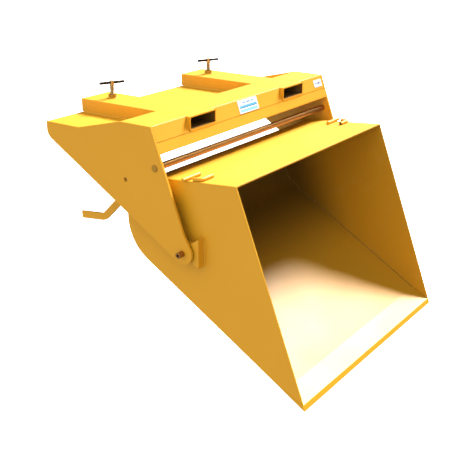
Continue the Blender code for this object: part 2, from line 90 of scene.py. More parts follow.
# --- finishes -----------------------------------------------------------------------------------
def linear(hex_colour: str) -> tuple[float, float, float, float]:
    """Turn an sRGB hex colour into linear RGBA.

    Args:
        hex_colour: A hash and six hex digits.

    Returns:
        Linear red, green and blue, and an alpha of one.
    """
    shares = [int(hex_colour[start:start + 2], 16) / 255 for start in (1, 3, 5)]
    spread = [c / 12.92 if c <= 0.04045 else ((c + 0.055) / 1.055) ** 2.4 for c in shares]
    return (spread[0], spread[1], spread[2], 1.0)


def add_node(
    tree: NodeTree, kind: str, settings: dict | None = None, links: dict | None = None
) -> bpy.types.Node:
    """Add a shader node, set its inputs or properties and link its inputs.

    Args:
        tree: The node tree that gets the node.
        kind: The node's type name.
        settings: Values by input name, input number or property name.
        links: Output sockets by the name or number of the input they feed.

    Returns:
        The new node.
    """
    node = tree.nodes.new(kind)
    for key, value in (settings or {}).items():
        if isinstance(key, str) and key not in node.inputs:
            setattr(node, key, value)
    for key, value in (settings or {}).items():
        if isinstance(key, int) or key in node.inputs:
            node.inputs[key].default_value = value
    for key, socket in (links or {}).items():
        tree.links.new(socket, node.inputs[key])
    return node


def noise(tree: NodeTree, place: Socket, scale: float, **settings: float) -> Socket:
    """Return the value of a noise texture; the settings are its other inputs by name."""
    inputs = {"Scale": scale, **settings}
    return add_node(tree, "ShaderNodeTexNoise", inputs, {"Vector": place}).outputs["Fac"]


def stretched(tree: NodeTree, place: Socket, x: float, y: float, z: float) -> Socket:
    """Return a place divided by a size along each axis, for a pattern that is drawn out."""
    scale = (1 / x, 1 / y, 1 / z)
    return add_node(tree, "ShaderNodeMapping", {"Scale": scale}, {"Vector": place}).outputs["Vector"]


def ranged(tree: NodeTree, value: Socket, given: tuple, wanted: tuple, kind: str = "LINEAR") -> Socket:
    """Carry a value over from one range to another.

    Args:
        tree: The node tree.
        value: The value's socket.
        given: The range it comes in.
        wanted: The range it leaves in.
        kind: How it is interpolated.

    Returns:
        The new value's socket.
    """
    names = ("From Min", "From Max", "To Min", "To Max")
    settings = {"interpolation_type": kind, **dict(zip(names, (*given, *wanted)))}
    return add_node(tree, "ShaderNodeMapRange", settings, {"Value": value}).outputs["Result"]


def mixed(tree: NodeTree, share: Socket, first: Socket | str, second: Socket | str) -> Socket:
    """Mix two colours, each a hex colour or a socket, by the second one's share."""
    settings, links = {"data_type": "RGBA"}, {0: share}
    for number, colour in ((6, first), (7, second)):
        if isinstance(colour, str):
            settings[number] = linear(colour)
        else:
            links[number] = colour
    return add_node(tree, "ShaderNodeMix", settings, links).outputs[2]


def raised(tree: NodeTree, height: Socket, strength: float, depth: float) -> Socket:
    """Return the normal of a bump."""
    settings = {"Strength": strength, "Distance": depth}
    return add_node(tree, "ShaderNodeBump", settings, {"Height": height}).outputs["Normal"]


@dataclass(frozen=True)
class Finish:
    """A surface finish that knows how to make its own material."""

    name: str
    slot: str

    def material(self) -> bpy.types.Material:
        """Return the finish's material, made the first time it is asked for."""
        made = bpy.data.materials.get(self.name)
        if made is None:
            made = bpy.data.materials.new(self.name)
            made.use_nodes = True
            self.dress(made.node_tree, made.node_tree.nodes["Principled BSDF"])
        return made

    def dress(self, tree: NodeTree, shader: bpy.types.ShaderNode) -> None:
        """Add the finish's own nodes; each kind of finish has its own."""
        raise NotImplementedError(self.name)


@dataclass(frozen=True)
class PowderCoat(Finish):
    """Powder coating on mild steel: an even satin skin with a faint orange peel and slow drifts."""

    colour: str = "#E8A61B"
    deep_colour: str = "#E3A116"
    roughness: float = 0.53
    roughness_drift: float = 0.04
    drift_size: float = 220 * MM        # how far the film's thickness takes to change
    peel_size: float = 7 * MM           # real peel is 1 to 2 mm, drawn coarser so that it shows
    peel_depth: float = 0.12 * MM
    peel_strength: float = 0.5
    scuff: float = 0.0                  # how much the fine scratches lighten the skin
    scuff_band: tuple[float, float] = (0.56, 0.74)      # the noise that counts as scratches
    scuff_colour: str = "#EFC36A"
    scuff_length: float = 90 * MM
    scuff_width: float = 2.5 * MM       # real scratches are finer, drawn coarse enough to show

    def dress(self, tree: NodeTree, shader: bpy.types.ShaderNode) -> None:
        """Link drifting colour and roughness, scuffs and an orange-peel bump to the shader."""
        place = add_node(tree, "ShaderNodeTexCoord").outputs["Object"]
        drift = noise(tree, place, 1 / self.drift_size, Detail=3.0, Roughness=0.55)
        skin = mixed(tree, drift, self.colour, self.deep_colour)
        if self.scuff:
            drawn_out = stretched(tree, place, self.scuff_width, self.scuff_length, self.scuff_length)
            scratches = noise(tree, drawn_out, 1.0, Detail=2.0, Roughness=0.6)
            share = ranged(tree, scratches, self.scuff_band, (0.0, self.scuff))
            skin = mixed(tree, share, skin, self.scuff_colour)
        tree.links.new(self.with_painted_shade(tree, place, skin), shader.inputs["Base Color"])
        limits = (self.roughness - self.roughness_drift, self.roughness + self.roughness_drift)
        tree.links.new(ranged(tree, drift, FULL, limits), shader.inputs["Roughness"])
        peel = noise(tree, place, 1 / self.peel_size, Detail=1.0)
        tree.links.new(raised(tree, peel, self.peel_strength, self.peel_depth), shader.inputs["Normal"])

    def with_painted_shade(self, tree: NodeTree, place: Socket, skin: Socket) -> Socket:
        """Return the skin's colour with its painted shade; the plain coat has none."""
        return skin


@dataclass(frozen=True)
class PaintedShadeCoat(PowderCoat):
    """The coat inside the bucket, with painted shade: it darkens with depth behind the mouth, most at
    the closed end.
    """

    # Painted shade: this dark colour is mixed in deeper inside the bucket, where shade falls.
    painted_shade_colour: str = "#3A2A0A"
    mouth_shade_share: float = 0.24           # how much of the painted shade's colour shows at the mouth
    deep_shade_share: float = 0.82
    unshaded_depth: float = 0.32           # how far behind the mouth the painted shade begins
    fully_shaded_depth: float = 0.64

    def with_painted_shade(self, tree: NodeTree, place: Socket, skin: Socket) -> Socket:
        """Mix painted shade into the skin by its depth behind the bucket's mouth."""
        top, lip = mouth_line()
        inward = (top - lip).cross(ACROSS).normalized()
        inward = inward if inward.y > 0 else -inward
        start = lip.dot(inward)
        depth = add_node(
            tree, "ShaderNodeVectorMath", {"operation": "DOT_PRODUCT", 1: inward}, {0: place}
        ).outputs["Value"]
        shade_span = (start + self.unshaded_depth, start + self.fully_shaded_depth)
        share = ranged(tree, depth, shade_span, (self.mouth_shade_share, self.deep_shade_share), "SMOOTHSTEP")
        return mixed(tree, share, skin, self.painted_shade_colour)


@dataclass(frozen=True)
class DrawnSteel(Finish):
    """Drawn bar, plated, oiled or blackened: drawing lines run along it and stains drift over it."""

    colour: str = "#D9C3A0"
    stain_colour: str = "#B99B72"
    roughness: float = 0.30
    roughness_drift: float = 0.08
    line_width: float = 1.5 * MM        # real drawing lines are finer, drawn so that they show
    line_length: float = 160 * MM
    line_depth: float = 0.03 * MM
    line_strength: float = 0.3
    stain_size: float = 45 * MM

    def dress(self, tree: NodeTree, shader: bpy.types.ShaderNode) -> None:
        """Link stained colour, lined roughness and a fine lined bump to a metal shader."""
        shader.inputs["Metallic"].default_value = 1.0
        place = add_node(tree, "ShaderNodeTexCoord").outputs["Object"]
        stain = noise(tree, place, 1 / self.stain_size, Detail=4.0)
        tree.links.new(mixed(tree, stain, self.colour, self.stain_colour), shader.inputs["Base Color"])
        along = stretched(tree, place, self.line_length, self.line_width, self.line_width)
        lines = noise(tree, along, 1.0, Detail=2.0)
        limits = (self.roughness - self.roughness_drift, self.roughness + self.roughness_drift)
        tree.links.new(ranged(tree, lines, FULL, limits), shader.inputs["Roughness"])
        grooved = raised(tree, lines, self.line_strength, self.line_depth)
        tree.links.new(grooved, shader.inputs["Normal"])


@dataclass(frozen=True)
class Band:
    """A printed block, in shares of the panel's width and height from its lower left corner."""

    left: float
    right: float
    low: float
    high: float
    colour: str


@dataclass(frozen=True)
class PrintedPanel(Finish):
    """Printed vinyl on a thin plate: a glossy white ground with flat blocks of ink."""

    node: str = ""
    ground: str = "#F3F6F8"
    grain_colour: str = "#E6ECF0"
    roughness: float = 0.30
    bands: tuple[Band, ...] = ()
    ink_grain: float = 1.2 * MM

    def dress(self, tree: NodeTree, shader: bpy.types.ShaderNode) -> None:
        """Link the ground and its printed blocks, each bounded along X and Z, to the shader."""
        shader.inputs["Roughness"].default_value = self.roughness
        low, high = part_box(self.node)
        place = add_node(tree, "ShaderNodeTexCoord").outputs["Object"]
        parts = add_node(tree, "ShaderNodeSeparateXYZ", links={0: place}).outputs
        across = ranged(tree, parts["X"], (low.x, high.x), FULL)
        upward = ranged(tree, parts["Z"], (low.z, high.z), FULL)
        grain = noise(tree, place, 1 / self.ink_grain)
        colour = mixed(tree, grain, self.ground, self.grain_colour)
        for band in self.bands:
            inside = self.product(
                tree,
                self.compare(tree, "GREATER_THAN", across, band.left),
                self.compare(tree, "LESS_THAN", across, band.right),
                self.compare(tree, "GREATER_THAN", upward, band.low),
                self.compare(tree, "LESS_THAN", upward, band.high),
            )
            colour = mixed(tree, inside, colour, band.colour)
        tree.links.new(colour, shader.inputs["Base Color"])

    @staticmethod
    def compare(tree: NodeTree, operation: str, socket: Socket, limit: float) -> Socket:
        """Return 1 where the socket passes the comparison with the limit, else 0."""
        return add_node(
            tree, "ShaderNodeMath", {"operation": operation, 1: limit}, {0: socket}
        ).outputs[0]

    @staticmethod
    def product(tree: NodeTree, first: Socket, *others: Socket) -> Socket:
        """Return the product of several sockets."""
        total = first
        for socket in others:
            total = add_node(
                tree, "ShaderNodeMath", {"operation": "MULTIPLY"}, {0: total, 1: socket}
            ).outputs[0]
        return total


@dataclass(frozen=True)
class StudioFloor(Finish):
    """A backlit white sweep: it glows enough to wash out the shadow on it."""

    glow: float = 1.0
    colour: str = "#E9E9E6"
    roughness: float = 0.9

    def dress(self, tree: NodeTree, shader: bpy.types.ShaderNode) -> None:
        """Set a matt white with its own even light."""
        shader.inputs["Base Color"].default_value = linear(self.colour)
        shader.inputs["Roughness"].default_value = self.roughness
        shader.inputs["Emission Color"].default_value = linear("#FFFFFF")
        shader.inputs["Emission Strength"].default_value = self.glow


# Powder coating gives an even satin gloss.
YELLOW_COAT = PowderCoat("powder_coated_steel_yellow", "yellow_paint")
# Inside the bucket the same coat carries painted shade that deepens towards the closed end, with a few
# fine scuffs.
PAINTED_SHADE_AND_SCUFF_COAT = PaintedShadeCoat("powder_coated_steel_painted_shade_scuffed", "yellow_paint", roughness=0.48, scuff=0.10)
# Beads in the bucket's corners carry painted shade, dark even at the mouth, and keep no gloss.
PAINTED_SHADE_BEAD = PaintedShadeCoat("weld_bead_painted_shade", "yellow_paint", roughness=0.80, mouth_shade_share=0.60)
# Inside their tubes the coat is a dull brown over dark steel as painted shade, with scuff marks.
TUBE_PAINTED_SHADE_AND_SCUFF_COAT = PowderCoat(
    "powder_coated_steel_tube_painted_shade_scuffed",
    "yellow_paint",
    colour="#7A5714",
    deep_colour="#5E430F",
    roughness=0.60,
    scuff=0.25,
    scuff_colour="#9A8A70",
)
# Zinc plating on turned bar dulls to a streaky straw colour under grease.
ZINC_BAR = DrawnSteel(
    "zinc_plated_drawn_steel", "zinc_steel", colour="#C9B48A", stain_colour="#9A8458", roughness=0.36
)
# Bright drawn bar under a film of preserving oil goes a warm brown.
OILED_BAR = DrawnSteel(
    "oiled_drawn_steel", "zinc_steel", colour="#B5884E", stain_colour="#9C7240", roughness=0.48
)
# Oil blackening leaves steel nearly black with a dull shine.
BLACK_BAR = DrawnSteel(
    "oil_blackened_steel", "dark_steel", colour="#3A332D", stain_colour="#221D19", roughness=0.45
)
# Weld heat leaves the coat on the bar ends browner; on the nuts the darker tone is painted shade.
BROWN_ENDS_AND_NUT_SHADE_COAT = PowderCoat(
    "powder_coated_steel_brown_ends_painted_shade_nuts",
    "yellow_paint",
    colour="#B98A1A",
    deep_colour="#A87A16",
    roughness=0.60,
)
# Printed vinyl is a glossy white with flat ink; the blocks stand in for any marking.
CENTRE_PRINT = PrintedPanel(
    "printed_vinyl_centre",
    "pale_panel",
    node="marking_panel_centre",
    bands=(
        Band(0.24, 0.40, 0.74, 0.84, "#6FA6CF"),
        Band(0.44, 0.62, 0.74, 0.84, "#5E97C6"),
        Band(0.66, 0.80, 0.74, 0.84, "#6FA6CF"),
        Band(0.06, 0.94, 0.42, 0.58, "#6BB9DE"),
        Band(0.06, 0.94, 0.38, 0.43, "#2E6FA8"),
        Band(0.06, 0.94, 0.08, 0.28, "#8ED0EA"),
    ),
)
END_PRINT = PrintedPanel(
    "printed_vinyl_end",
    "pale_panel",
    node="marking_panel_end",
    bands=(
        Band(0.12, 0.40, 0.44, 0.58, "#7C9FC4"),
        Band(0.48, 0.74, 0.40, 0.62, "#3F6FA6"),
        Band(0.78, 0.90, 0.44, 0.58, "#7C9FC4"),
    ),
)
FLOOR_WHITE = StudioFloor("studio_sweep_white", "")


# --- mesh work ----------------------------------------------------------------------------------
def merged_copy(node: str) -> Mesh:
    """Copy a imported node's mesh, weld its loose triangles and join its flat faces.

    Args:
        node: The node's name.

    Returns:
        The copy, with its place in its vertices.
    """
    shape = bmesh.new()
    shape.from_mesh(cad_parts[node].data)
    bmesh.ops.remove_doubles(shape, verts=shape.verts, dist=MERGE)
    bmesh.ops.dissolve_limit(shape, angle_limit=FLAT, verts=shape.verts, edges=shape.edges)
    return shape


def middle_of(node: str) -> Vector:
    """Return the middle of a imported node's box."""
    low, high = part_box(node)
    return (low + high) / 2


def flank(node: str, way: float) -> float:
    """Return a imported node's limit along X, the low one for a negative way."""
    low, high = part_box(node)
    return low.x if way < 0 else high.x


def creases(shape: Mesh, test: Callable[[bmesh.types.BMEdge], bool] | None = None) -> list:
    """Return a shape's sharp edges, or those of them that pass a test."""
    sharp = [edge for edge in shape.edges if edge.is_manifold and edge.calc_face_angle() > CREASE]
    return [edge for edge in sharp if test is None or test(edge)]


def ease(shape: Mesh, edges: list, width: float, segments: int = 2) -> None:
    """Round a shape's edges.

    Args:
        shape: The shape that is changed.
        edges: The edges to round.
        width: How far the rounding reaches from each edge.
        segments: How many facets it has.
    """
    bmesh.ops.bevel(
        shape,
        geom=edges,
        offset=width,
        offset_type="OFFSET",
        segments=segments,
        profile=0.5,
        affect="EDGES",
        clamp_overlap=True,
        material=-1,
    )


def crest(edge: bmesh.types.BMEdge) -> float:
    """Return the height of an edge's higher end."""
    return max(vert.co.z for vert in edge.verts)


def runs_along(axis: Vector) -> Callable[[bmesh.types.BMEdge], bool]:
    """Return a test for edges that run along an axis."""
    def test(edge: bmesh.types.BMEdge) -> bool:
        """Tell whether the edge is parallel to the axis."""
        span = edge.verts[1].co - edge.verts[0].co
        return span.length > 0 and abs(span.normalized().dot(axis)) > 0.999

    return test


def mark_inside(shape: Mesh, middle: Vector, axis: Vector) -> None:
    """Give the faces that line a hollow the INSIDE material number.

    Args:
        shape: A shape that wraps a hollow along an axis.
        middle: A point in the hollow.
        axis: The hollow's direction; faces square to it are left alone.
    """
    for face in shape.faces:
        inward = middle - face.calc_center_median()
        inward -= axis * inward.dot(axis)
        if abs(face.normal.dot(axis)) < 0.5 and face.normal.dot(inward) > 0:
            face.material_index = INSIDE


def turned(profile: Sequence[tuple[float, float]], closed: bool = False, segments: int = 48) -> Mesh:
    """Spin a profile of (radius, height) points about Z.

    Args:
        profile: Points from one end to the other; on the axis at both ends, unless closed.
        closed: Whether the profile is a loop, for a piece with a bore.
        segments: How many steps the full turn has.

    Returns:
        A closed shape about Z.
    """
    shape = bmesh.new()
    line = [shape.verts.new((radius, 0.0, height)) for radius, height in profile]
    pairs = list(zip(line, line[1:])) + ([(line[-1], line[0])] if closed else [])
    edges = [shape.edges.new(pair) for pair in pairs]
    bmesh.ops.spin(
        shape,
        geom=[*line, *edges],
        cent=(0.0, 0.0, 0.0),
        axis=UPWARD,
        angle=2 * math.pi,
        steps=segments,
        use_merge=True,
    )
    bmesh.ops.remove_doubles(shape, verts=shape.verts, dist=MERGE)
    bmesh.ops.recalc_face_normals(shape, faces=shape.faces)
    return shape


def chamfered_bar(length: float, radius: float, chamfer: float) -> list[tuple[float, float]]:
    """Return the profile of a solid round bar about its middle, with chamfered ends."""
    half = length / 2
    return [
        (0.0, half),
        (radius - chamfer, half),
        (radius, half - chamfer),
        (radius, -half + chamfer),
        (radius - chamfer, -half),
        (0.0, -half),
    ]


def chamfered_ring(
    length: float, radius: float, bore: float, chamfer: float
) -> list[tuple[float, float]]:
    """Return the closed profile of a round piece with a bore and chamfered rims."""
    half = length / 2
    return [
        (bore + chamfer / 2, half),
        (radius - chamfer, half),
        (radius, half - chamfer),
        (radius, -half + chamfer),
        (radius - chamfer, -half),
        (bore + chamfer / 2, -half),
        (bore, -half + chamfer / 2),
        (bore, half - chamfer / 2),
    ]


def put(shape: Mesh, place: Vector, axis: Vector) -> Mesh:
    """Turn a shape's Z onto an axis and move it to its place."""
    turn = UPWARD.rotation_difference(axis).to_matrix().to_4x4()
    bmesh.ops.transform(shape, matrix=Matrix.Translation(place) @ turn, verts=shape.verts)
    return shape


def section(node: str, place: Vector, normal: Vector) -> Route:
    """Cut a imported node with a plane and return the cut's longest loop, in order.

    Args:
        node: The node's name.
        place: A point on the plane.
        normal: The plane's normal.

    Returns:
        The loop's points, without the first one repeated.
    """
    shape = merged_copy(node)
    bmesh.ops.bisect_plane(
        shape,
        geom=[*shape.verts, *shape.edges, *shape.faces],
        dist=MERGE / 10,
        plane_co=place,
        plane_no=normal,
        clear_inner=True,
        clear_outer=True,
    )
    bmesh.ops.dissolve_limit(shape, angle_limit=FLAT, verts=shape.verts, edges=shape.edges)
    loops = []
    free = set(shape.verts)
    while free:
        start = free.pop()
        loop = [start]
        following = next((edge.other_vert(start) for edge in start.link_edges), None)
        while following is not None and following in free:
            free.discard(following)
            loop.append(following)
            beyond = (edge.other_vert(following) for edge in following.link_edges)
            following = next((vert for vert in beyond if vert in free), None)
        loops.append([vert.co.copy() for vert in loop])
    shape.free()
    return max(loops, key=route_length)


def route_length(route: Route) -> float:
    """Return the length of an open route."""
    return sum((b - a).length for a, b in zip(route, route[1:]))


def mouth_line() -> tuple[Vector, Vector]:
    """Return the top and the foot of a bucket side's front edge, its longest straight."""
    loop = section("bucket_side_left", middle_of("bucket_side_left"), ACROSS)
    ends = max(zip(loop, [*loop[1:], loop[0]]), key=lambda pair: (pair[1] - pair[0]).length)
    top, foot = sorted(ends, key=lambda point: -point.z)
    return top, foot


# --- weld seams ---------------------------------------------------------------------------------
@dataclass
class Seam:
    """A fillet weld's run: where its root lies and which way each face leads away from it."""

    roots: Route
    first: Route
    second: Route
    closed: bool = False

    def stations(self, step: float) -> list[tuple[Vector, Vector, Vector, float]]:
        """Space the run evenly.

        Args:
            step: The wished spacing.

        Returns:
            Root, the two directions away from it and the distance run, for each station.
        """
        roots, first, second = list(self.roots), list(self.first), list(self.second)
        if self.closed:
            roots.append(roots[0])
            first.append(first[0])
            second.append(second[0])
        total = route_length(roots)
        count = max(8, round(total / step))
        marks = [total * index / count for index in range(count + 1)]
        spaced = []
        leg = 0
        done = 0.0
        for mark in marks:
            span = (roots[leg + 1] - roots[leg]).length
            while mark > done + span and leg + 2 < len(roots):
                done += span
                leg += 1
                span = (roots[leg + 1] - roots[leg]).length
            share = min(1.0, (mark - done) / span) if span > 0 else 0.0
            spaced.append((
                roots[leg].lerp(roots[leg + 1], share),
                first[leg].lerp(first[leg + 1], share),
                second[leg].lerp(second[leg + 1], share),
                mark,
            ))
        return spaced


def straight_seam(start: Vector, end: Vector, first: Vector, second: Vector) -> Seam:
    """Return a straight run between two points, with the same two faces all the way."""
    return Seam([start, end], [first, first], [second, second])


def loop_seam(loop: Route, normal: Vector, steps: int = 3) -> Seam:
    """Return a closed run round a flat outline that stands on a plate.

    Args:
        loop: The outline's corners, in order.
        normal: The way the piece stands off the plate.
        steps: How many stations each side of the outline has.

    Returns:
        The run; its first direction leads away from the outline along the plate.
    """
    middle = sum(loop, Vector()) / len(loop)
    roots, outward = [], []
    for before, corner, after in zip([loop[-1], *loop], loop, [*loop[1:], loop[0]]):
        sides = []
        for near, far in ((before, corner), (corner, after)):
            side = (far - near).cross(normal).normalized()
            sides.append(side if side.dot(near.lerp(far, 0.5) - middle) > 0 else -side)
        mean = (sides[0] + sides[1]).normalized()
        roots.append(corner)
        outward.append(mean)
        for step in range(1, steps):
            roots.append(corner.lerp(after, step / steps))
            outward.append(sides[1])
    return Seam(roots, outward, [normal] * len(roots), closed=True)


def ring_seam(centre: Vector, axis: Vector, radius: float, steps: int = 24) -> Seam:
    """Return a closed run round a bar where it leaves a plate.

    Args:
        centre: Where the bar's axis meets the plate.
        axis: The way the bar leaves.
        radius: The bar's radius.
        steps: How many stations the ring has.

    Returns:
        The run.
    """
    start = axis.orthogonal().normalized()
    outward = [Matrix.Rotation(2 * math.pi * k / steps, 3, axis) @ start for k in range(steps)]
    roots = [centre + way * radius for way in outward]
    return Seam(roots, outward, [axis] * steps, closed=True)


@dataclass(frozen=True)
class WeldBead:
    """How a fillet bead looks: its leg, how far it crowns and the scallops of its ripples."""

    leg: float = 5.0 * MM
    crown: float = 0.16
    pitch: float = 6.5 * MM
    scallop: float = 0.10
    steps_per_ripple: int = 4
    facets: int = 4

    def outline(self, phase: float) -> list[tuple[float, float]]:
        """Return the bead's section in shares of its leg, root first, for a place in a ripple.

        Args:
            phase: How many ripples into the run the section lies.

        Returns:
            Points as shares of the leg along the two faces.
        """
        points = [(0.0, 0.0)]
        for facet in range(self.facets + 1):
            share = facet / self.facets
            swell = math.sin(math.pi * share)
            ripple = abs(math.sin(math.pi * (phase - 0.35 * swell)))
            reach = 1.0 + self.crown * swell + self.scallop * (ripple - 0.5)
            points.append(((1 - share) * reach, share * reach))
        return points

    def build(self, seam: Seam) -> Mesh:
        """Lay the bead along a seam.

        Args:
            seam: The run it follows.

        Returns:
            A closed shape.
        """
        stations = seam.stations(self.pitch / self.steps_per_ripple)
        total = stations[-1][3]
        shape = bmesh.new()
        columns = self.facets + 2
        bmesh.ops.create_grid(shape, x_segments=len(stations) - 1, y_segments=columns, size=0.5)
        for vert in shape.verts:
            root, first, second, run = stations[round((vert.co.x + 0.5) * (len(stations) - 1))]
            outline = self.outline(run / self.pitch)
            along_first, along_second = outline[round((vert.co.y + 0.5) * columns) % len(outline)]
            fade = 1.0
            if not seam.closed:
                fade = min(1.0, math.sqrt(max(0.0, min(run, total - run)) / self.leg) + 0.35)
            size = self.leg * fade
            vert.co = root + first * along_first * size + second * along_second * size
        bmesh.ops.remove_doubles(shape, verts=shape.verts, dist=MERGE)
        rims = [edge for edge in shape.edges if edge.is_boundary]
        if rims:
            bmesh.ops.holes_fill(shape, edges=rims, sides=0)
        bmesh.ops.recalc_face_normals(shape, faces=shape.faces)
        return shape


# --- assemblies ---------------------------------------------------------------------------------
class Shade(Enum):
    """How a piece's faces are shaded."""

    ROUND = "round"
    EASED = "eased"


@dataclass
class Assembly:
    """Pieces that move together as one body."""

    body: str

    def add(
        self,
        name: str,
        shape: Mesh,
        finish: Finish,
        replaced: Iterable[str] = (),
        shade: Shade = Shade.EASED,
        inside: Finish | None = None,
    ) -> Piece:
        """Finish a shape as a piece of this assembly.

        Args:
            name: The piece's name.
            shape: Its mesh, in place; it is freed.
            finish: Its surface finish.
            replaced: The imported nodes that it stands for.
            shade: How its faces are shaded.
            inside: The finish of its faces that carry the INSIDE material number.

        Returns:
            The piece.
        """
        mesh = bpy.data.meshes.new(name)
        shape.to_mesh(mesh)
        shape.free()
        mesh.shade_smooth()
        mesh.set_sharp_from_angle(angle=CREASE)
        mesh.materials.append(finish.material())
        if inside is not None:
            mesh.materials.append(inside.material())
        piece = bpy.data.objects.new(name, mesh)
        bpy.context.scene.collection.objects.link(piece)
        if shade is Shade.EASED:
            weighted = piece.modifiers.new("large_faces_lead", "WEIGHTED_NORMAL")
            weighted.keep_sharp = True
        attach(piece, self.body)
        for node in replaced:
            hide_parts(node)
        LOG.info("%s: %s, %d faces", self.body, name, len(mesh.polygons))
        return piece

    def add_eased(
        self, node: str, name: str, finish: Finish, width: float, segments: int = 2
    ) -> Piece:
        """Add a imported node's shape with all its sharp edges rounded.

        Args:
            node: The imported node.
            name: The piece's name.
            finish: Its surface finish.
            width: How far the rounding reaches.
            segments: How many facets it has.

        Returns:
            The piece.
        """
        shape = merged_copy(node)
        ease(shape, creases(shape), width, segments)
        return self.add(name, shape, finish, [node])

    def add_bar(
        self, node: str, name: str, finish: Finish, chamfer: float, ends: Finish | None = None
    ) -> Piece:
        """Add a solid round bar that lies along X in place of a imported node.

        Args:
            node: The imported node.
            name: The piece's name.
            finish: Its surface finish.
            chamfer: The chamfer at both ends.
            ends: The finish of its end faces, if they have one of their own.

        Returns:
            The piece.
        """
        low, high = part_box(node)
        profile = chamfered_bar(high.x - low.x, (high.z - low.z) / 2, chamfer)
        bar = put(turned(profile), middle_of(node), ACROSS)
        for face in bar.faces:
            if ends is not None and abs(face.normal.x) > 0.5:
                face.material_index = INSIDE
        return self.add(name, bar, finish, [node], Shade.ROUND, ends)

    def add_ring(self, node: str, name: str, finish: Finish, bore: float, chamfer: float) -> Piece:
        """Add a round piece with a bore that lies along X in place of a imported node."""
        low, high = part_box(node)
        profile = chamfered_ring(high.x - low.x, (high.z - low.z) / 2, bore, chamfer)
        ring = put(turned(profile, closed=True), middle_of(node), ACROSS)
        return self.add(name, ring, finish, [node], Shade.ROUND)

    def add_weld(
        self, name: str, seam: Seam, bead: WeldBead, finish: Finish = YELLOW_COAT
    ) -> Piece:
        """Add a painted weld bead along a seam."""
        return self.add(f"weld_{name}", bead.build(seam), finish, shade=Shade.ROUND)

    def add_straight_weld(
        self, name: str, run: Sequence, faces: Sequence[Vector], bead: WeldBead
    ) -> Piece:
        """Add a straight painted weld bead.

        Args:
            name: The weld's name.
            run: The places of the root's two ends.
            faces: The ways that the two welded faces lead off from the root.
            bead: How the bead looks.

        Returns:
            The piece.
        """
        start, end = (Vector(place) for place in run)
        return self.add_weld(name, straight_seam(start, end, *faces), bead)


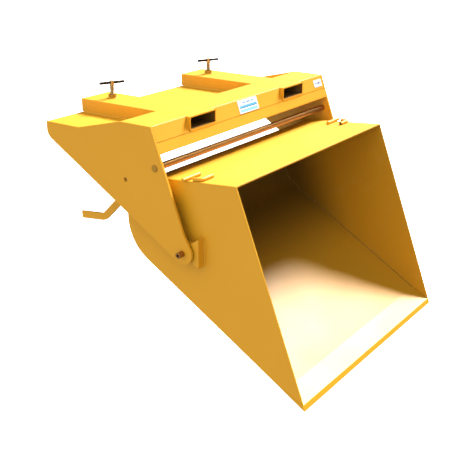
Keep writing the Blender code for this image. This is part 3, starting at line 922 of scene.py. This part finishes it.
@dataclass
class CarryFrame(Assembly):
    """The fixed frame: side plates, deck, fork tubes, folded front boxes, rail and tie bar."""

    body: str = "frame"
    plate_edge: float = 1.6 * MM
    fold_reach: float = 2.5 * MM        # how far a fold's rounding reaches from its edge
    rim_share: float = 1.5              # a face under this many thicknesses wide is a cut rim
    tube_corner: float = 3.0 * MM
    tube_rim: float = 0.6 * MM
    bar_chamfer: float = 2.5 * MM
    panel_corner: float = 5.0 * MM
    panel_thickness: float = 2.0 * MM   # edges shorter than this run through a panel
    lip_height: float = 8.0 * MM        # the lowest strip of a box or the rail
    groove: float = 2.0 * MM            # shadow gap between the boxes and the rail
    groove_depth: float = 5.0 * MM
    rail_foot: float = 3.5 * MM
    rail_bead_depth: float = 3.0 * MM   # how far in from the tube's mouth the bead's root lies
    rail_bead_lean: float = 0.6
    deck_thickness: float = 8.0 * MM
    tube_bead_gap: float = 12 * MM      # bare stretch between a bead and the deck's rear edge
    side_bead_gap: float = 20 * MM
    side_bead_reach: float = 0.25       # how far the upper side bead runs on behind the boxes
    box_bead_gap: float = 6 * MM
    rail_bead: WeldBead = WeldBead(leg=6.5 * MM)
    deck_bead: WeldBead = WeldBead(leg=5 * MM)
    small_bead: WeldBead = WeldBead(leg=4 * MM, pitch=5 * MM)

    def build(self) -> None:
        """Build all the frame's pieces."""
        for side, _ in SIDES:
            self.add_eased(f"frame_side_{side}", f"side_plate_{side}", YELLOW_COAT, self.plate_edge)
            self.build_tube(side)
        self.build_folded()
        self.build_panels()
        self.add_bar("cross_bar", "tie_bar", OILED_BAR, self.bar_chamfer, BROWN_ENDS_AND_NUT_SHADE_COAT)
        self.build_welds()

    def build_tube(self, side: str) -> None:
        """Build a fork tube with rounded long corners."""
        node = f"fork_tube_{side}"
        shape = merged_copy(node)
        mark_inside(shape, middle_of(node), REARWARD)
        ease(shape, creases(shape, runs_along(REARWARD)), self.tube_corner, 3)
        ease(shape, creases(shape), self.tube_rim)
        # The tube's inner faces get the dark brown coat of painted shade.
        self.add(f"fork_pocket_{side}", shape, YELLOW_COAT, [node], inside=TUBE_PAINTED_SHADE_AND_SCUFF_COAT)

    def build_folded(self) -> None:
        """Build the folded plates: folds get a bend radius, cut edges a small one.

        The lower lip of a front box stays square, where the rail's groove runs along it.
        """
        for node in ("deck_plate", *FRONT_BOXES):
            shape = merged_copy(node)
            thickness = min(edge.calc_length() for edge in shape.edges)
            bends = creases(shape, runs_along(ACROSS))
            folds = [edge for edge in bends if not self.at_rim(edge, thickness)]
            ease(shape, folds, self.fold_reach, 3)
            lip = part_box(node)[0].z + self.lip_height if node in FRONT_BOXES else -math.inf
            ease(shape, creases(shape, lambda edge: crest(edge) > lip), self.plate_edge)
            self.add(f"{node}_folded", shape, YELLOW_COAT, [node])
        self.build_rail()

    def build_rail(self) -> None:
        """Build the rail: a groove along its top shows as a seam, and its foot is well rounded."""
        low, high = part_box("front_rail")
        plate = merged_copy("front_rail")
        outward = min((face.normal for face in plate.faces), key=lambda normal: normal.y).copy()
        upward = outward.cross(ACROSS)
        points = [vert.co.copy() for vert in plate.verts]
        plate.free()

        def corner(out: float, rise: float) -> Vector:
            """Return the plate's corner that lies furthest outward or inward, and up or down."""
            return max(points, key=lambda point: out * point.dot(outward) + rise * point.dot(upward))

        shelf = corner(1, 1) - upward * self.groove
        profile = [
            corner(-1, -1),
            corner(-1, 1),
            corner(1, 1) - outward * self.groove_depth,
            shelf - outward * self.groove_depth,
            shelf,
            corner(1, -1),
        ]
        shape = bmesh.new()
        rings = [[shape.verts.new((x, point.y, point.z)) for point in profile] for x in (low.x, high.x)]
        for ring in rings:
            shape.faces.new(ring)
        for first, second in zip(range(-1, len(profile) - 1), range(len(profile))):
            shape.faces.new((rings[0][first], rings[0][second], rings[1][second], rings[1][first]))
        bmesh.ops.recalc_face_normals(shape, faces=shape.faces)
        foot = creases(shape, lambda edge: crest(edge) < low.z + self.lip_height)
        ease(shape, foot, self.rail_foot, 4)
        self.add("front_rail_plate", shape, YELLOW_COAT, ["front_rail"])
        for side, _ in SIDES:
            tube_low, tube_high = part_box(f"fork_tube_{side}")
            depth = tube_low.y + self.rail_bead_depth
            height = (tube_low.z + high.z - self.groove) / 2
            run = [(x, depth, height) for x in (tube_low.x, tube_high.x)]
            lean = REARWARD * self.rail_bead_lean
            faces = [(way - lean).normalized() for way in (-upward, UPWARD)]
            self.add_straight_weld(f"tube_rail_{side}", run, faces, self.rail_bead)

    def at_rim(self, edge: bmesh.types.BMEdge, thickness: float) -> bool:
        """Tell whether an edge borders the sheet's own thickness rather than a bend."""
        spans = [min(side.calc_length() for side in face.edges) for face in edge.link_faces]
        return min(spans) < thickness * self.rim_share

    def build_panels(self) -> None:
        """Build the two marking panels with rounded corners."""
        for node, finish in (("marking_panel_centre", CENTRE_PRINT), ("marking_panel_end", END_PRINT)):
            shape = merged_copy(node)
            corners = creases(shape, lambda edge: edge.calc_length() < self.panel_thickness)
            ease(shape, corners, self.panel_corner, 4)
            self.add(f"{node}_print", shape, finish, [node])

    def build_welds(self) -> None:
        """Lay the beads between the deck, the tubes, the side plates and the front boxes."""
        deck_low, deck_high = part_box("deck_plate")
        top = deck_high.z
        under = top - self.deck_thickness
        rear = deck_high.y - self.tube_bead_gap
        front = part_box("front_box_centre")[1].y
        for side, sign in SIDES:
            tube = f"fork_tube_{side}"
            for label, way in ENDS:
                run = [(flank(tube, way), y, top) for y in (rear, front)]
                faces = (ACROSS * way, UPWARD)
                self.add_straight_weld(f"deck_tube_{side}_{label}", run, faces, self.deck_bead)
            inner = flank(f"frame_side_{side}", -sign)
            inward = ACROSS * -sign
            gap = self.side_bead_gap
            run = [(inner, y, under) for y in (rear - gap, deck_low.y + gap)]
            self.add_straight_weld(f"deck_side_{side}_under", run, (inward, -UPWARD), self.deck_bead)
            outer_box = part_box("front_box_left")[1]
            run = [(inner, y, top) for y in (outer_box.y, front + self.side_bead_reach)]
            self.add_straight_weld(f"deck_side_{side}_over", run, (inward, UPWARD), self.small_bead)
            outline = section(f"clamp_nut_{side}", middle_of(f"clamp_nut_{side}"), UPWARD)
            for corner in outline:
                corner.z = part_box(tube)[1].z
            self.add_weld(f"nut_{side}", loop_seam(outline, UPWARD), self.small_bead)
        for node in FRONT_BOXES:
            low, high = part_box(node)
            run = [(x, high.y, top) for x in (low.x + self.box_bead_gap, high.x - self.box_bead_gap)]
            self.add_straight_weld(f"{node}_foot", run, (REARWARD, UPWARD), self.deck_bead)


@dataclass
class ClampNuts(Assembly):
    """The hexagon nuts welded on the tube roofs."""

    body: str = "frame"
    corner: float = 0.8 * MM
    rim: float = 1.2 * MM

    def build(self) -> None:
        """Build both nuts with chamfered rims."""
        for side, _ in SIDES:
            node = f"clamp_nut_{side}"
            shape = merged_copy(node)
            ease(shape, creases(shape, runs_along(UPWARD)), self.corner)
            ease(shape, creases(shape), self.rim)
            # The nuts' darker coat is painted shade.
            self.add(f"welded_nut_{side}", shape, BROWN_ENDS_AND_NUT_SHADE_COAT, [node])


@dataclass
class Clamp:
    """One clamp screw with its tommy bar, and the pad at its nose."""

    side: str
    pitch: float = 3.0 * MM
    thread_depth: float = 1.3 * MM
    rows_per_pitch: int = 8
    columns: int = 36
    head: float = 24 * MM
    head_edge: float = 0.8 * MM
    nose: float = 1.5 * MM              # chamfer at the shank's end, and bare stretch under the head
    crest_share: float = 0.8            # the share of a pitch that the thread's flanks take up
    skin_share: float = 0.9             # vertices further out than this share of the radius get thread
    bar_rounding: float = 2.5 * MM
    pad_chamfer: float = 1.0 * MM

    def build(self) -> None:
        """Build the screw, the bar and the pad."""
        screw = Assembly(f"screw_{self.side}")
        pad = Assembly(f"pad_{self.side}")
        self.build_shank(screw)
        self.build_head(screw)
        self.build_tommy_bar(screw)
        self.build_pad(pad)

    def build_shank(self, screw: Assembly) -> None:
        """Turn the shank and press a helical thread into it."""
        low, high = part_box(f"clamp_screw_{self.side}")
        radius = (high.x - low.x) / 2
        top = high.z - self.head
        length = top - low.z
        rows = round(length / self.pitch * self.rows_per_pitch)
        heights = [top - length * row / rows for row in range(rows + 1)]
        wall = [(radius, z) for z in heights[:-1]]
        profile = [(0.0, top), *wall, (radius - self.nose, low.z), (0.0, low.z)]
        shape = turned(profile, segments=self.columns)
        for vert in shape.verts:
            on_skin = vert.co.xy.length > radius * self.skin_share
            if on_skin and low.z + self.nose < vert.co.z < top - self.nose:
                turn = math.atan2(vert.co.y, vert.co.x) / (2 * math.pi)
                depth = abs(((vert.co.z / self.pitch - turn) % 1.0) * 2 - 1)
                pressed = radius - self.thread_depth * min(1.0, depth / self.crest_share)
                vert.co.xy = vert.co.xy.normalized() * pressed
        node = f"clamp_screw_{self.side}"
        centre = middle_of(node)
        bmesh.ops.translate(shape, vec=(centre.x, centre.y, 0.0), verts=shape.verts)
        screw.add(f"screw_thread_{self.side}", shape, ZINC_BAR, [node], Shade.ROUND)

    def build_head(self, screw: Assembly) -> None:
        """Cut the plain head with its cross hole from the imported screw."""
        node = f"clamp_screw_{self.side}"
        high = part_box(node)[1]
        shape = merged_copy(node)
        cut = bmesh.ops.bisect_plane(
            shape,
            geom=[*shape.verts, *shape.edges, *shape.faces],
            dist=MERGE,
            plane_co=Vector((0.0, 0.0, high.z - self.head)),
            plane_no=UPWARD,
            clear_inner=True,
        )["geom_cut"]
        rim = [part for part in cut if isinstance(part, bmesh.types.BMEdge)]
        bmesh.ops.holes_fill(shape, edges=rim, sides=0)
        ease(shape, creases(shape), self.head_edge)
        screw.add(f"screw_head_{self.side}", shape, ZINC_BAR)

    def build_tommy_bar(self, screw: Assembly) -> None:
        """Turn the sliding bar with rounded ends."""
        node = f"tommy_bar_{self.side}"
        low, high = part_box(node)
        radius = (high.z - low.z) / 2
        corners = [vert.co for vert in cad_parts[node].data.vertices]
        middle = middle_of(node)
        far = max(corners, key=lambda point: (point - middle).xy.length)
        ends = [point - middle for point in corners if (point - far).length < radius * 2.5]
        axis = sum(ends, Vector()) / len(ends)
        axis.z = 0.0
        length = 2 * axis.length
        rounding = self.bar_rounding
        arc = [
            (
                radius - rounding + rounding * math.sin(turn),
                length / 2 - rounding + rounding * math.cos(turn),
            )
            for turn in (step * math.pi / 8 for step in range(5))
        ]
        upper = [(0.0, length / 2), *arc]
        profile = upper + [(r, -z) for r, z in reversed(upper)]
        bar = put(turned(profile, segments=32), middle, axis.normalized())
        screw.add(f"sliding_bar_{self.side}", bar, BLACK_BAR, [node], Shade.ROUND)

    def build_pad(self, pad: Assembly) -> None:
        """Turn the swivel pad with a chamfered rim."""
        node = f"clamp_pad_{self.side}"
        low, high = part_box(node)
        disc = turned(chamfered_bar(high.z - low.z, (high.x - low.x) / 2, self.pad_chamfer))
        disc = put(disc, middle_of(node), UPWARD)
        pad.add(f"swivel_pad_{self.side}", disc, ZINC_BAR, [node], Shade.ROUND)


@dataclass
class Latch(Assembly):
    """The latch: shaft, collars, release lever and hooks."""

    body: str = "latch"
    hook_edge: float = 1.5 * MM
    lever_edge: float = 2.1 * MM
    shaft_chamfer: float = 1.2 * MM
    collar_chamfer: float = 1.0 * MM
    collar_play: float = 0.3 * MM
    bead: WeldBead = WeldBead(leg=3.5 * MM, pitch=4 * MM)

    def build(self) -> None:
        """Build the latch's pieces and the ring welds that hold them to the shaft."""
        shaft_low, shaft_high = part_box("latch_shaft")
        radius = (shaft_high.z - shaft_low.z) / 2
        middle = middle_of("latch_shaft")
        bore = radius + self.collar_play
        self.add_bar("latch_shaft", "latch_shaft_bar", OILED_BAR, self.shaft_chamfer)
        self.add_eased("release_lever", "release_lever_bar", YELLOW_COAT, self.lever_edge, 3)
        for side, _ in SIDES:
            collar = f"shaft_collar_{side}"
            self.add_ring(collar, f"collar_{side}", YELLOW_COAT, bore, self.collar_chamfer)
            self.add_eased(f"latch_hook_{side}", f"hook_{side}", YELLOW_COAT, self.hook_edge)
        for node in ("release_lever", "latch_hook_left", "latch_hook_right"):
            for label, way in ENDS:
                centre = Vector((flank(node, way), middle.y, middle.z))
                self.add_weld(f"{node}_{label}", ring_seam(centre, ACROSS * way, radius), self.bead)


@dataclass
class Bucket(Assembly):
    """The tipping bucket: sides, rolled sheet, cutting edge, hinges and lugs."""

    body: str = "bucket"
    plate_edge: float = 1.4 * MM
    bead: WeldBead = WeldBead(leg=4.5 * MM, pitch=7 * MM)
    small_bead: WeldBead = WeldBead(leg=4 * MM, pitch=5 * MM)
    hinge_edge: float = 1.8 * MM
    pin_chamfer: float = 1.5 * MM
    rod_chamfer: float = 1.2 * MM
    rod_foot: float = 0.3               # where a rod's beads have their roots, in shares of its radius
    lug_bend: float = 18 * MM
    butt: float = 15 * MM               # the flush joint of floor and cutting edge keeps square edges

    def build(self) -> None:
        """Build all the bucket's pieces."""
        for side, sign in SIDES:
            self.build_hinge(side, sign)
            self.build_lugs(side, sign)
        self.build_sheets()
        self.build_inner_welds()

    def build_sheets(self) -> None:
        """Build the bucket's plates, with painted shade and scuffs on the faces that line its hollow.
        """
        route = self.inner_route()
        middle = sum(route, Vector()) / len(route)
        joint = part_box("cutting_edge")[1].y
        for side, sign in SIDES:
            node = f"bucket_side_{side}"
            cheek = merged_copy(node)
            for face in cheek.faces:
                if face.normal.x * sign < -0.5:
                    face.material_index = INSIDE
            ease(cheek, creases(cheek), self.plate_edge)
            # Inner faces get the coat with painted shade that deepens towards the closed end.
            self.add(f"bucket_cheek_{side}", cheek, YELLOW_COAT, [node], inside=PAINTED_SHADE_AND_SCUFF_COAT)
        sheet = merged_copy("bucket_shell")
        mark_inside(sheet, middle, ACROSS)
        behind = creases(sheet, lambda edge: edge.verts[0].co.y > joint + self.butt)
        ease(sheet, behind, self.plate_edge)
        self.add("bucket_rolled_sheet", sheet, YELLOW_COAT, ["bucket_shell"], inside=PAINTED_SHADE_AND_SCUFF_COAT)
        lip = merged_copy("cutting_edge")
        for face in lip.faces:
            if face.normal.z > 0.5:
                face.material_index = INSIDE
        ahead = creases(lip, lambda edge: edge.verts[0].co.y < joint - self.butt)
        ease(lip, ahead, self.plate_edge)
        self.add("bucket_cutting_edge", lip, YELLOW_COAT, ["cutting_edge"], inside=PAINTED_SHADE_AND_SCUFF_COAT)

    def build_hinge(self, side: str, sign: float) -> None:
        """Build a hinge block, its weld to the bucket and its hollow pin."""
        node = f"hinge_block_{side}"
        self.add_eased(node, f"hinge_block_plate_{side}", YELLOW_COAT, self.hinge_edge, 3)
        outline = section(node, middle_of(node), ACROSS)
        for corner in outline:
            corner.x = flank(node, -sign)
        self.add_weld(f"hinge_block_{side}", loop_seam(outline, ACROSS * sign), self.small_bead)
        pin = f"hinge_pin_{side}"
        axis = middle_of(pin).yz
        bore = min((vert.co.yz - axis).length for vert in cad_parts[pin].data.vertices)
        self.add_ring(pin, f"hollow_pin_{side}", OILED_BAR, bore, self.pin_chamfer)

    def build_lugs(self, side: str, sign: float) -> None:
        """Build a catch rod with its welds and a bent lug on the bucket's top edge."""
        rod = f"catch_rod_{side}"
        self.add_bar(rod, f"catch_bar_{side}", YELLOW_COAT, self.rod_chamfer)
        low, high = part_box(rod)
        radius = (high.z - low.z) / 2
        outer = flank(f"bucket_side_{side}", sign)
        self.weld_rod(rod, middle_of(rod), radius, flank(rod, -sign), outer)
        self.build_bent_lug(side, sign, radius)

    def weld_rod(self, name: str, centre: Vector, radius: float, inner: float, outer: float) -> None:
        """Lay a bead on both sides of a rod that lies on the bucket's top.

        Args:
            name: The weld's name.
            centre: The rod's middle.
            radius: The rod's radius.
            inner: Where the bead starts along X.
            outer: Where it ends.
        """
        foot = centre - self.roof_normal() * radius
        for label, way in (("front", -1.0), ("rear", 1.0)):
            along_roof = self.roof_slope() * way
            root = foot + along_roof * radius * self.rod_foot
            run = [(x, root.y, root.z) for x in (inner, outer)]
            faces = (along_roof, self.roof_normal())
            self.add_straight_weld(f"{name}_{label}", run, faces, self.small_bead)

    def build_bent_lug(self, side: str, sign: float, radius: float) -> None:
        """Sweep the bent rod: a prong across the bucket's top, a bend and a leg along its edge."""
        node = f"top_lug_{side}"
        low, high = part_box(node)
        slope = self.roof_slope()
        corner_x = flank(node, sign) - sign * radius
        prong_end = flank(node, -sign)
        front_y = low.y + radius
        roof_z = high.z - radius
        leg = high.y - radius - front_y
        bend = self.lug_bend
        shape = bmesh.new()
        rim = bmesh.ops.create_circle(shape, cap_ends=True, segments=24, radius=radius)["verts"]
        start = Vector((prong_end, front_y, roof_z))
        turn = UPWARD.rotation_difference(ACROSS * sign).to_matrix().to_4x4()
        bmesh.ops.transform(shape, matrix=Matrix.Translation(start) @ turn, verts=rim)
        reach = Vector((corner_x - sign * bend - prong_end, 0.0, 0.0))
        faces = self.extrude(shape, list(shape.faces), reach)
        pivot = Vector((corner_x - sign * bend, front_y, roof_z)) + slope * bend
        swept = bmesh.ops.spin(
            shape,
            geom=faces,
            cent=pivot,
            axis=ACROSS.cross(slope) * sign,
            angle=math.pi / 2,
            steps=8,
        )["geom_last"]
        faces = [part for part in swept if isinstance(part, bmesh.types.BMFace)]
        self.extrude(shape, faces, slope * (leg - bend))
        bmesh.ops.recalc_face_normals(shape, faces=shape.faces)
        ease(shape, creases(shape), self.rod_chamfer)
        self.add(f"bent_lug_{side}", shape, YELLOW_COAT, [node], Shade.ROUND)

    @staticmethod
    def extrude(shape: Mesh, faces: list, reach: Vector) -> list:
        """Extrude faces along a vector and return the moved faces."""
        grown = bmesh.ops.extrude_face_region(shape, geom=faces)["geom"]
        bmesh.ops.delete(shape, geom=faces, context="FACES_ONLY")
        moved = [part for part in grown if isinstance(part, bmesh.types.BMVert)]
        bmesh.ops.translate(shape, vec=reach, verts=moved)
        return [part for part in grown if isinstance(part, bmesh.types.BMFace)]

    def inner_route(self) -> Route:
        """Return the inside of the rolled sheet in section, from the mouth's top to the floor."""
        loop = section("bucket_shell", middle_of("bucket_shell"), ACROSS)
        spans = [(b - a).length for a, b in zip(loop, [*loop[1:], loop[0]])]
        low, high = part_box("bucket_side_left")
        thickness = high.x - low.x
        ends = [index for index, span in enumerate(spans) if abs(span - thickness) < 0.6 * thickness]
        ends = sorted(ends, key=lambda index: self.end_score(loop, index))[:2]
        first, last = sorted(ends)
        halves = [loop[first + 1:last + 1], loop[last + 1:] + loop[:first + 1]]
        inner = min(halves, key=route_length)
        return inner if inner[0].z > inner[-1].z else inner[::-1]

    @staticmethod
    def end_score(loop: Route, index: int) -> float:
        """Score a section's edge by how square it stands to its neighbours; 0 is square."""
        count = len(loop)
        before = (loop[index] - loop[index - 1]).normalized()
        here = (loop[(index + 1) % count] - loop[index]).normalized()
        after = (loop[(index + 2) % count] - loop[(index + 1) % count]).normalized()
        return abs(before.dot(here)) + abs(here.dot(after))

    def roof_slope(self) -> Vector:
        """Return the direction rearward along the bucket's top."""
        route = self.inner_route()
        slope = (route[1] - route[0]).normalized()
        return slope if slope.y > 0 else -slope

    def roof_normal(self) -> Vector:
        """Return the direction up from the bucket's top."""
        return ACROSS.cross(self.roof_slope())

    def build_inner_welds(self) -> None:
        """Lay the long beads in the two inner corners between the sides and the rolled sheet."""
        route = self.inner_route()
        middle = sum(route, Vector()) / len(route)
        inward = []
        for index, point in enumerate(route):
            before = route[max(0, index - 1)]
            after = route[min(len(route) - 1, index + 1)]
            normal = (after - before).cross(ACROSS).normalized()
            inward.append(normal if normal.dot(middle - point) > 0 else -normal)
        for side, sign in SIDES:
            face = flank(f"bucket_side_{side}", -sign)
            roots = [Vector((face, point.y, point.z)) for point in route]
            seam = Seam(roots, [ACROSS * -sign] * len(route), inward)
            # The corner beads get painted shade, darker than the coat beside them.
            self.add_weld(f"bucket_corner_{side}", seam, self.bead, PAINTED_SHADE_BEAD)


# --- studio -------------------------------------------------------------------------------------
@dataclass
class Studio:
    """The floor, the light and the camera."""

    azimuth: float = math.radians(-54.86)
    elevation: float = math.radians(21.37)
    roll: float = math.radians(0.07)
    distance: float = 4.498
    lens: float = 65.23
    sensor: float = 36.0
    aim: Vector = field(default_factory=lambda: Vector((-0.1103, 0.0468, -0.1631)))
    key_direction: Vector = field(default_factory=lambda: Vector((0.701, -0.055, 0.711)))
    key_strength: float = 10.3
    key_angle: float = math.radians(22)
    fill_direction: Vector = field(default_factory=lambda: Vector((-0.90, -0.08, 0.43)))
    fill_strength: float = 1.22
    dim_strength: float = 0.12
    bounces: int = 1
    clip_end: float = 200.0
    floor_drop: float = 0.35
    floor_size: float = 80.0
    sweep_steps: int = 12
    sweep_turns: int = 64

    def build(self) -> None:
        """Build the whole studio."""
        bpy.context.scene.view_settings.view_transform = "Standard"
        bpy.context.scene.cycles.diffuse_bounces = self.bounces
        self.build_camera()
        self.build_light()
        self.build_floor()

    def build_camera(self) -> None:
        """Aim the camera at a point near the middle of the object's box."""
        low, high = CAD_BOX
        target = (low + high) / 2 + self.aim
        back = Vector((
            math.sin(self.azimuth) * math.cos(self.elevation),
            -math.cos(self.azimuth) * math.cos(self.elevation),
            math.sin(self.elevation),
        ))
        data = bpy.data.cameras.new("camera")
        data.lens = self.lens
        data.sensor_width = self.sensor
        data.clip_end = self.clip_end
        camera = bpy.data.objects.new("camera", data)
        camera.location = target + back * self.distance
        camera.rotation_mode = "QUATERNION"
        turn = Matrix.Rotation(self.roll, 3, back) @ (-back).to_track_quat("-Z", "Y").to_matrix()
        camera.rotation_quaternion = turn.to_quaternion()
        bpy.context.scene.collection.objects.link(camera)
        bpy.context.scene.camera = camera

    def build_light(self) -> None:
        """Add one broad key light and a white surround that is brighter on the fill's side."""
        data = bpy.data.lights.new("key_light", "SUN")
        data.energy = self.key_strength
        data.angle = self.key_angle
        key = bpy.data.objects.new("key_light", data)
        key.rotation_mode = "QUATERNION"
        key.rotation_quaternion = self.key_direction.to_track_quat("Z", "Y")
        bpy.context.scene.collection.objects.link(key)
        world = bpy.data.worlds.new("white_surround")
        world.use_nodes = True
        tree = world.node_tree
        sky = tree.nodes["Background"]
        sky.inputs["Color"].default_value = linear("#FFFFFF")
        toward = add_node(tree, "ShaderNodeTexCoord").outputs["Generated"]
        facing = add_node(
            tree,
            "ShaderNodeVectorMath",
            {"operation": "DOT_PRODUCT", 1: self.fill_direction.normalized()},
            {0: toward},
        ).outputs["Value"]
        limits = (self.dim_strength, self.dim_strength + self.fill_strength)
        strength = ranged(tree, facing, FULL, limits)
        tree.links.new(strength, sky.inputs["Strength"])
        bpy.context.scene.world = world

    def build_floor(self) -> None:
        """Spin the sweep: a floor below the lowest point that curves up to a wall all round."""
        ground = CAD_BOX[0].z - self.floor_drop
        bend = self.floor_size / 4
        flat = self.floor_size / 2 - bend
        profile = [(0.0, ground), (flat, ground)]
        for step in range(1, self.sweep_steps + 1):
            turn = math.pi / 2 * step / self.sweep_steps
            profile.append((flat + bend * math.sin(turn), ground + bend * (1 - math.cos(turn))))
        shape = bmesh.new()
        line = [shape.verts.new((radius, 0.0, height)) for radius, height in profile]
        edges = [shape.edges.new(pair) for pair in zip(line, line[1:])]
        turn = {"axis": UPWARD, "angle": 2 * math.pi, "steps": self.sweep_turns, "use_merge": True}
        bmesh.ops.spin(shape, geom=[*line, *edges], **turn)
        bmesh.ops.remove_doubles(shape, verts=shape.verts, dist=MERGE)
        bmesh.ops.recalc_face_normals(shape, faces=shape.faces)
        mesh = bpy.data.meshes.new("floor")
        shape.to_mesh(mesh)
        shape.free()
        mesh.shade_smooth()
        mesh.materials.append(FLOOR_WHITE.material())
        floor = bpy.data.objects.new("floor", mesh)
        floor.visible_diffuse = False
        floor.visible_glossy = False
        floor.visible_shadow = False
        bpy.context.scene.collection.objects.link(floor)


def main() -> None:
    """Build the studio and dress every assembly."""
    logging.basicConfig(level=logging.INFO, format="%(name)s %(message)s")
    Studio().build()
    CarryFrame().build()
    ClampNuts().build()
    for side, _ in SIDES:
        Clamp(side).build()
    Latch().build()
    Bucket().build()


if __name__ == "__main__":
    main()
